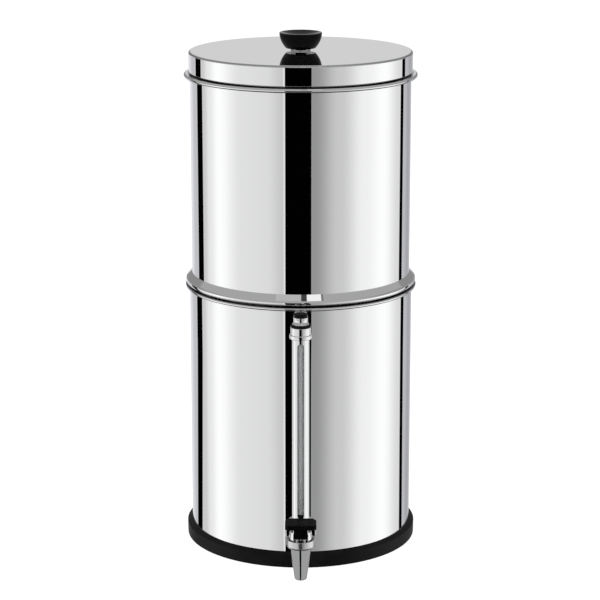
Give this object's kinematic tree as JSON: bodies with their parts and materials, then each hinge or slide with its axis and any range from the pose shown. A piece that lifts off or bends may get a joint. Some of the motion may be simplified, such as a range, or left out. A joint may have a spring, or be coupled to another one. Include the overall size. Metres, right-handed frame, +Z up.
{
  "type": "gravity water filter with tap",
  "caption": "Tall cylindrical gravity water filter: stacked polished steel chambers, flat lid with bowl knob, slotted sight glass and a lever tap.",
  "frame": {"origin": "centre of the base ring's underside, on the table", "axes": "+Z up; -Y is the front, where the tap points; +X is to the right seen from the front"},
  "size_m": [0.2255, 0.2911, 0.4983],
  "materials": {
    "polished_steel": "mirror polished stainless steel",
    "plain_steel": "turned stainless steel",
    "black_rubber": "satin moulded rubber",
    "black_seal": "smooth rubber",
    "knob_plastic": "glossy moulded phenolic",
    "lever_plastic": "glossy moulded plastic",
    "silicone": "translucent white silicone",
    "carbon": "pressed activated carbon, fine grain",
    "filter_plastic": "matte moulded plastic",
    "nut_plastic": "satin moulded nylon",
    "clear_tube": "clear, polished"
  },
  "bodies": {
    "base": {"base_ring": "black_rubber", "lower_chamber": "polished_steel", "tee": "polished_steel", "outer_wall_seal": "silicone", "inner_wall_seal": "silicone", "lock_nut": "plain_steel", "gland_nut": "polished_steel", "lower_glass_seal": "silicone", "guard_tube": "polished_steel", "glass_tube": "clear_tube", "upper_glass_seal": "silicone", "top_collar": "polished_steel", "gasket": "black_seal", "vent_spool": "polished_steel", "vent_plug": "black_seal", "tap_body": "polished_steel", "tap_seal": "silicone", "jam_nut": "plain_steel", "seat_cup": "silicone", "bonnet": "polished_steel", "lever_pin": "plain_steel"},
    "upper": {"upper_chamber": "polished_steel", "filter_media_left": "carbon", "filter_media_right": "carbon", "filter_top_cap_left": "filter_plastic", "filter_top_cap_right": "filter_plastic", "filter_base_left": "filter_plastic", "filter_base_right": "filter_plastic", "filter_seals": "silicone", "filter_wing_nuts": "nut_plastic", "hole_plugs": "filter_plastic", "plug_seals": "silicone", "plug_wing_nuts": "nut_plastic"},
    "lid": {"lid": "polished_steel", "knob": "knob_plastic", "knob_washer": "plain_steel", "knob_screw": "plain_steel"},
    "lever": {"lever": "lever_plastic"},
    "stem": {"valve_stem": "plain_steel"}
  },
  "joints": [
    {"name": "upper_chamber_lift", "type": "slide", "parent": "base", "child": "upper", "axis": [0, 0, 1], "range_m": [0, 0.065]},
    {"name": "lid_lift", "type": "slide", "parent": "upper", "child": "lid", "axis": [0, 0, 1], "range_m": [0, 0.05]},
    {"name": "lever_tilt", "type": "hinge", "parent": "base", "child": "lever", "pos_m": [0, -0.1685, 0.053], "axis": [1, 0, 0], "range_deg": [0, 24], "stiffness_Nm_per_rad": 0.2},
    {"name": "stem_lift", "type": "slide", "parent": "base", "child": "stem", "axis": [0, 0, 1], "range_m": [0, 0.00147], "deforming": ["seat_cup"]}
  ],
  "couplings": [
    {"joint": "lever_tilt", "follows": "stem_lift", "rad_per_m": 285.71}
  ]
}
